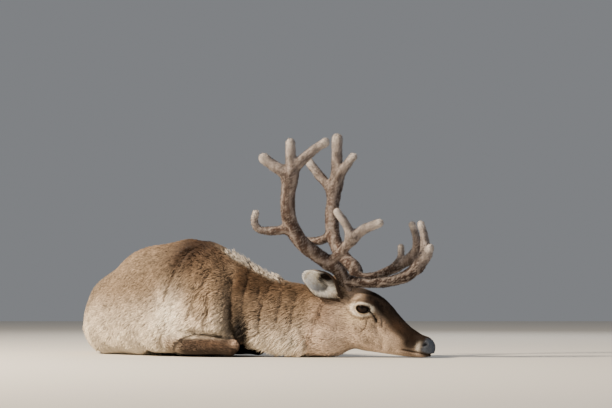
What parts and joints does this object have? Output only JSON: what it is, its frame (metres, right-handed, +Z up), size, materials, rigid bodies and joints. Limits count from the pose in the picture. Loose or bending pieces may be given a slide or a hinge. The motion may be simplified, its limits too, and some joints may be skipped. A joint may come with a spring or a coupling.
{
  "type": "resting reindeer",
  "caption": "Life-size antlered reindeer bull lying curled on its breast, chin on the ground, with velvet antlers.",
  "frame": {"origin": "middle of the bounding box, on the ground", "axes": "+Z up; +X towards the nose side of the picture; -Y towards the side that the picture is taken from"},
  "size_m": [1.3197, 1.2914, 0.8145],
  "materials": {
    "coat": "thick summer coat, matt",
    "face": "short face hair, matt",
    "velvet": "velvet skin on the antlers, matt",
    "horn": "dark hoof horn, dull",
    "eye": "wet dark eye"
  },
  "bodies": {
    "root": {"antler_left_back_tine": "velvet", "antler_left_beam": "velvet", "antler_left_brow_palm": "velvet", "antler_left_brow_tine": "velvet", "antler_left_crown_back": "velvet", "antler_left_crown_front": "velvet", "antler_left_crown_middle": "velvet", "antler_right_back_tine": "velvet", "antler_right_beam": "velvet", "antler_right_bez_tine": "velvet", "antler_right_brow_palm": "velvet", "antler_right_brow_tine": "velvet", "antler_right_crown_back": "velvet", "antler_right_crown_front": "velvet", "antler_right_crown_middle": "velvet", "chest": "coat", "ear_left": "coat", "ear_right": "coat", "eye_left": "eye", "eye_right": "eye", "head": "face", "leg_fore_left": "coat", "leg_fore_left_claw_a": "horn", "leg_fore_left_claw_b": "horn", "leg_fore_right": "coat", "leg_fore_right_claw_a": "horn", "leg_fore_right_claw_b": "horn", "leg_hind_left": "coat", "leg_hind_left_claw_a": "horn", "leg_hind_left_claw_b": "horn", "leg_hind_right": "coat", "leg_hind_right_claw_a": "horn", "leg_hind_right_claw_b": "horn", "neck_high": "coat", "neck_low": "coat", "tail": "coat", "trunk_hind": "coat", "trunk_middle": "coat"}
  },
  "joints": []
}
